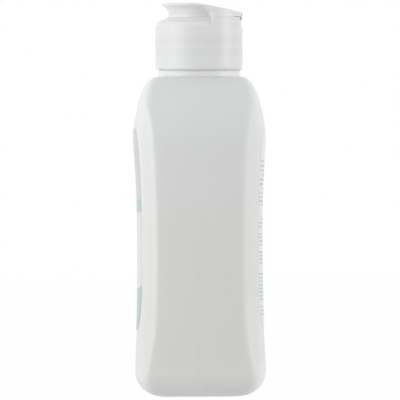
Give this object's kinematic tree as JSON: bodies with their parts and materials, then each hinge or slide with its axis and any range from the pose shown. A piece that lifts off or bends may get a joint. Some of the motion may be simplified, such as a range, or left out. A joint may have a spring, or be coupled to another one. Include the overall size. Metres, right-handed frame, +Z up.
{
  "type": "intimate wash bottle",
  "caption": "Flat oval squeeze bottle with faceted corners, a waisted side profile and a push-fit flip-top cap with a hinged lid.",
  "frame": {"origin": "centre of the foot, on the surface that the bottle stands on", "axes": "+Z up through the cap, +X along the wide faces, -Y out of the front face with its label and the lid's thumb lip, so the hinge is at +Y"},
  "size_m": [0.06, 0.044, 0.1295],
  "materials": {
    "bottle_wall": "satin white polyethylene",
    "closure": "satin, slightly translucent white polypropylene",
    "label_film": "satin printed film"
  },
  "bodies": {
    "bottle": {"bottle": "bottle_wall", "cap_base": "closure", "hinge_film": "closure", "front_label": "label_film", "back_label": "label_film"},
    "lid": {"cap_lid": "closure"}
  },
  "joints": [
    {"name": "lid_hinge", "type": "hinge", "parent": "bottle", "child": "lid", "pos_m": [0, 0.01416, 0.12505], "axis": [-1, 0, 0], "range_deg": [0, 140], "deforming": ["hinge_film"]}
  ]
}
